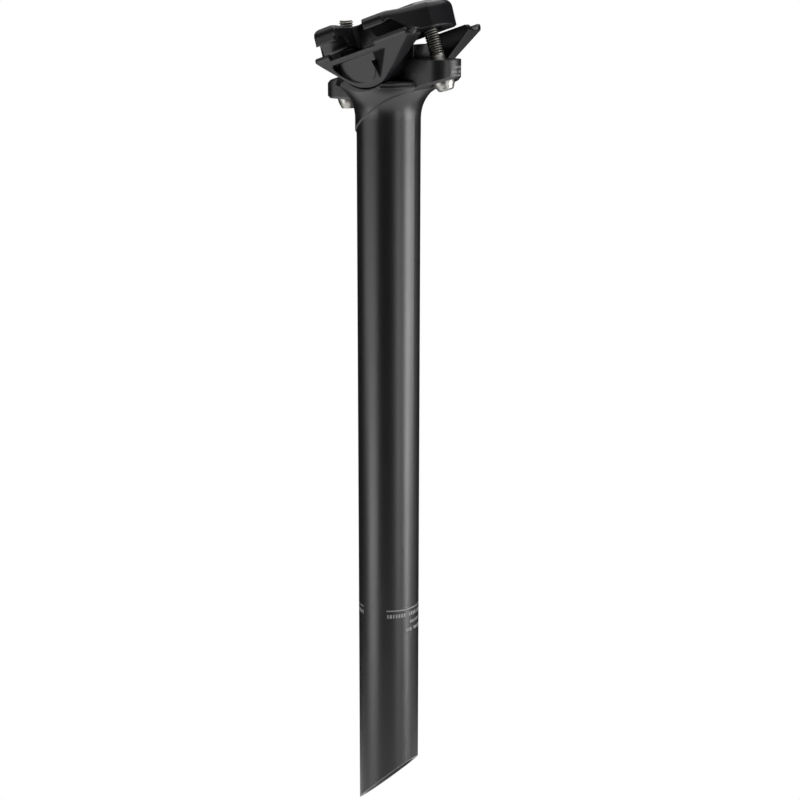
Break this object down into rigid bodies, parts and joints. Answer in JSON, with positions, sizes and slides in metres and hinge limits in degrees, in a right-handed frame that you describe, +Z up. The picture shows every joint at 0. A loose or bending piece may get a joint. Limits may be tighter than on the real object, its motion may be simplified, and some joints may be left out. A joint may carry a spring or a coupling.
{
  "type": "seatpost",
  "caption": "Straight bicycle seatpost: a round tube with a slanting lower cut and a two-bolt head whose cradle and top clamp hold saddle rails and tilt together.",
  "frame": {"origin": "on the tube's axis, at the minimum insertion line", "axes": "+Z up along the tube to the saddle, +X to the rear of the bicycle, +Y to the bicycle's right-hand side"},
  "size_m": [0.0673, 0.053, 0.3679],
  "materials": {
    "post_anodised": "fine bead-blasted satin black anodising with light grey print",
    "clamp_anodised": "smooth satin black anodising",
    "bolt_steel": "bright stainless steel with a rolled thread",
    "washer_steel": "blackened steel",
    "nut_steel": "plain turned steel"
  },
  "bodies": {
    "post": {"post": "post_anodised"},
    "cradle": {"lower_cradle": "clamp_anodised"},
    "top_clamp": {"upper_clamp": "clamp_anodised"},
    "front_bolt": {"front_bolt": "bolt_steel", "front_washer": "washer_steel"},
    "rear_bolt": {"rear_bolt": "bolt_steel", "rear_washer": "washer_steel"},
    "front_nut": {"front_barrel_nut": "nut_steel"},
    "rear_nut": {"rear_barrel_nut": "nut_steel"}
  },
  "joints": [
    {"name": "saddle_tilt", "type": "hinge", "parent": "post", "child": "cradle", "pos_m": [0.0015, 0, 0.245], "axis": [0, -1, 0], "range_deg": [-15, 4]},
    {"name": "clamp_closing", "type": "slide", "parent": "cradle", "child": "top_clamp", "axis": [-0.2924, 0, 0.9563], "range_m": [-0.0014, 0]},
    {"name": "front_bolt_swing", "type": "hinge", "parent": "post", "child": "front_bolt", "pos_m": [-0.0214, 0, 0.2242], "axis": [0, -1, 0], "range_deg": [-3, 0.8]},
    {"name": "rear_bolt_swing", "type": "hinge", "parent": "post", "child": "rear_bolt", "pos_m": [0.0282, 0, 0.2337], "axis": [0, -1, 0], "range_deg": [-4, 1.1]},
    {"name": "front_nut_turn", "type": "hinge", "parent": "top_clamp", "child": "front_nut", "pos_m": [-0.02221, 0, 0.24664], "axis": [0, -1, 0], "range_deg": [-3.5, 13.3]},
    {"name": "rear_nut_turn", "type": "hinge", "parent": "top_clamp", "child": "rear_nut", "pos_m": [0.01929, 0, 0.25933], "axis": [0, -1, 0], "range_deg": [-3.2, 12.8]}
  ],
  "couplings": [
    {"joint": "front_bolt_swing", "follows": "saddle_tilt", "ratio": 0.1794},
    {"joint": "rear_bolt_swing", "follows": "saddle_tilt", "ratio": 0.2388},
    {"joint": "front_nut_turn", "follows": "saddle_tilt", "ratio": -0.8206},
    {"joint": "rear_nut_turn", "follows": "saddle_tilt", "ratio": -0.7612}
  ]
}
